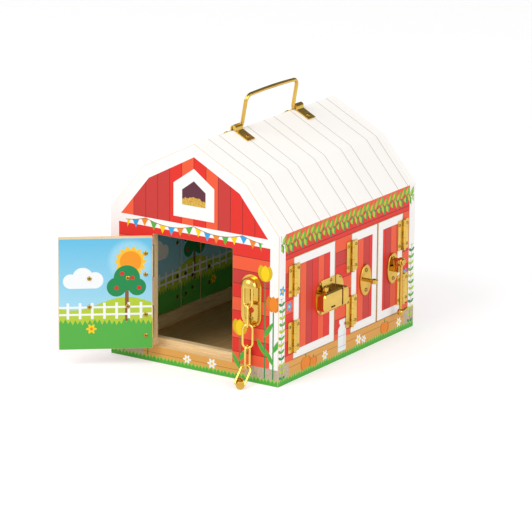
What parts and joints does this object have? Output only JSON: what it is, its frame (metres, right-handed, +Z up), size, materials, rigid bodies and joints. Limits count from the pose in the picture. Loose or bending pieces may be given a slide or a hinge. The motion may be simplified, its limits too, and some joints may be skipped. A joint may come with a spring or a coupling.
{
  "type": "wooden toy barn with latched doors",
  "caption": "Wooden toy barn with a gambrel roof, a folding carrying handle and hinged doors that each close with a different brass latch, chain, hook, bolt or hasp.",
  "frame": {"origin": "centre of the barn's underside, midway between its side walls and its gable walls", "axes": "+Z up; the gable with the big doorway faces -Y; +X is to the right as seen by someone who faces that gable"},
  "size_m": [0.2709, 0.3487, 0.2877],
  "materials": {
    "barn_wood": "satin paint",
    "floor_wood": "bare plywood",
    "roof_wood": "satin paint",
    "door_wood": "satin paint",
    "chain_brass": "polished",
    "handle_brass": "polished",
    "pin_brass": "satin",
    "screw_brass": "satin",
    "rivet_brass": "polished",
    "sheet_brass": "polished"
  },
  "bodies": {
    "barn": {"floor_panel": "floor_wood", "front_wall": "barn_wood", "rear_wall": "barn_wood", "right_wall": "barn_wood", "left_wall": "barn_wood", "lower_roof_right": "roof_wood", "upper_roof_right": "roof_wood", "lower_roof_left": "roof_wood", "upper_roof_left": "roof_wood", "wall_hinge_leaves": "sheet_brass", "hinge_pins": "pin_brass", "wall_rivets": "rivet_brass", "handle_straps": "sheet_brass", "handle_screws": "screw_brass", "chain_plate": "sheet_brass", "chain_plate_screws": "screw_brass", "chain_stud": "chain_brass", "latch_keeper": "sheet_brass", "bolt_keeper": "sheet_brass", "hasp_base": "sheet_brass", "hasp_pin": "pin_brass"},
    "front_door": {"front_door_panel": "door_wood", "front_door_leaves": "sheet_brass", "front_door_rivets": "rivet_brass", "chain_track": "sheet_brass"},
    "right_front_door": {"right_front_door_panel": "door_wood", "right_front_door_leaves": "sheet_brass", "right_front_door_rivets": "rivet_brass", "latch_case": "sheet_brass"},
    "right_middle_door": {"right_middle_door_panel": "door_wood", "right_middle_door_leaves": "sheet_brass", "right_middle_door_rivets": "rivet_brass", "hook_eye": "sheet_brass", "hook_eye_screws": "screw_brass"},
    "right_rear_door": {"right_rear_door_panel": "door_wood", "right_rear_door_leaves": "sheet_brass", "right_rear_door_rivets": "rivet_brass", "hook_pivot_plate": "sheet_brass", "hook_pivot_screws": "screw_brass"},
    "left_front_door": {"left_front_door_panel": "door_wood", "left_front_door_leaves": "sheet_brass", "left_front_door_rivets": "rivet_brass", "bolt_guide": "sheet_brass"},
    "left_rear_door": {"left_rear_door_panel": "door_wood", "left_rear_door_leaves": "sheet_brass", "left_rear_door_rivets": "rivet_brass", "staple_plate": "sheet_brass"},
    "latch_bolt": {"latch_bolt": "sheet_brass", "latch_knob": "sheet_brass"},
    "cabin_hook": {"cabin_hook": "sheet_brass"},
    "barrel_bolt": {"barrel_bolt": "sheet_brass"},
    "turning_staple": {"turning_staple": "sheet_brass"},
    "hasp_strap": {"hasp_strap": "sheet_brass"},
    "handle": {"handle": "handle_brass"},
    "chain_knob": {"chain_knob": "chain_brass"},
    "chain_link_1": {"chain_link_1": "chain_brass"},
    "chain_link_2": {"chain_link_2": "chain_brass"},
    "chain_link_3": {"chain_link_3": "chain_brass"},
    "chain_link_4": {"chain_link_4": "chain_brass"},
    "chain_link_5": {"chain_link_5": "chain_brass"}
  },
  "joints": [
    {"name": "front_door_hinge", "type": "hinge", "parent": "barn", "child": "front_door", "pos_m": [-0.0519, -0.1395, 0.07985], "axis": [0, 0, -1], "range_deg": [-141, 24]},
    {"name": "right_front_door_hinge", "type": "hinge", "parent": "barn", "child": "right_front_door", "pos_m": [0.11, -0.1086, 0.07905], "axis": [0, 0, -1], "range_deg": [0, 150]},
    {"name": "right_middle_door_hinge", "type": "hinge", "parent": "barn", "child": "right_middle_door", "pos_m": [0.11, 0.0056, 0.07905], "axis": [0, 0, -1], "range_deg": [0, 115]},
    {"name": "right_rear_door_hinge", "type": "hinge", "parent": "barn", "child": "right_rear_door", "pos_m": [0.11, 0.1114, 0.07905], "axis": [0, 0, 1], "range_deg": [0, 130]},
    {"name": "left_front_door_hinge", "type": "hinge", "parent": "barn", "child": "left_front_door", "pos_m": [-0.11, -0.0171, 0.07905], "axis": [0, 0, -1], "range_deg": [0, 110]},
    {"name": "left_rear_door_hinge", "type": "hinge", "parent": "barn", "child": "left_rear_door", "pos_m": [-0.11, 0.1114, 0.07905], "axis": [0, 0, -1], "range_deg": [0, 130]},
    {"name": "latch_slide", "type": "slide", "parent": "right_front_door", "child": "latch_bolt", "axis": [0, -1, 0], "range_m": [-0.007, 0]},
    {"name": "hook_pivot", "type": "hinge", "parent": "right_rear_door", "child": "cabin_hook", "pos_m": [0.1201, 0.0895, 0.087], "axis": [-1, 0, 0], "range_deg": [-272.44, 0]},
    {"name": "bolt_slide", "type": "slide", "parent": "left_front_door", "child": "barrel_bolt", "axis": [0, 1, 0], "range_m": [-0.012, 0]},
    {"name": "staple_turn", "type": "hinge", "parent": "left_rear_door", "child": "turning_staple", "pos_m": [-0.108, 0.0373, 0.049], "axis": [-1, 0, 0], "range_deg": [-90, 0]},
    {"name": "hasp_hinge", "type": "hinge", "parent": "barn", "child": "hasp_strap", "pos_m": [-0.11, 0.0125, 0.049], "axis": [0, 0, 1], "range_deg": [-100, 10]},
    {"name": "handle_hinge", "type": "hinge", "parent": "barn", "child": "handle", "pos_m": [0, 0.0028, 0.2511], "axis": [0, 1, 0], "range_deg": [-125, 105]},
    {"name": "chain_swing_1", "type": "hinge", "parent": "barn", "child": "chain_link_1", "pos_m": [0.0745, -0.1451, 0.1102], "axis": [0, 1, 0], "range_deg": [-12, 12]},
    {"name": "chain_swing_2", "type": "hinge", "parent": "chain_link_1", "child": "chain_link_2", "pos_m": [0.0745, -0.1451, 0.0878], "axis": [0, 1, 0], "range_deg": [-12, 12]},
    {"name": "chain_swing_3", "type": "hinge", "parent": "chain_link_2", "child": "chain_link_3", "pos_m": [0.0745, -0.1451, 0.0654], "axis": [0, 1, 0], "range_deg": [-12, 12]},
    {"name": "chain_swing_4", "type": "hinge", "parent": "chain_link_3", "child": "chain_link_4", "pos_m": [0.0745, -0.1451, 0.043], "axis": [0, 1, 0], "range_deg": [-12, 12]},
    {"name": "chain_swing_5", "type": "hinge", "parent": "chain_link_4", "child": "chain_link_5", "pos_m": [0.0745, -0.1451, 0.0206], "axis": [-1, 0, 0], "range_deg": [-30, 0]},
    {"name": "knob_swing", "type": "hinge", "parent": "chain_link_5", "child": "chain_knob", "pos_m": [0.0745, -0.15948, 0.00463], "axis": [-0.6135, 0.7897, 0], "range_deg": [-20, 20]}
  ]
}
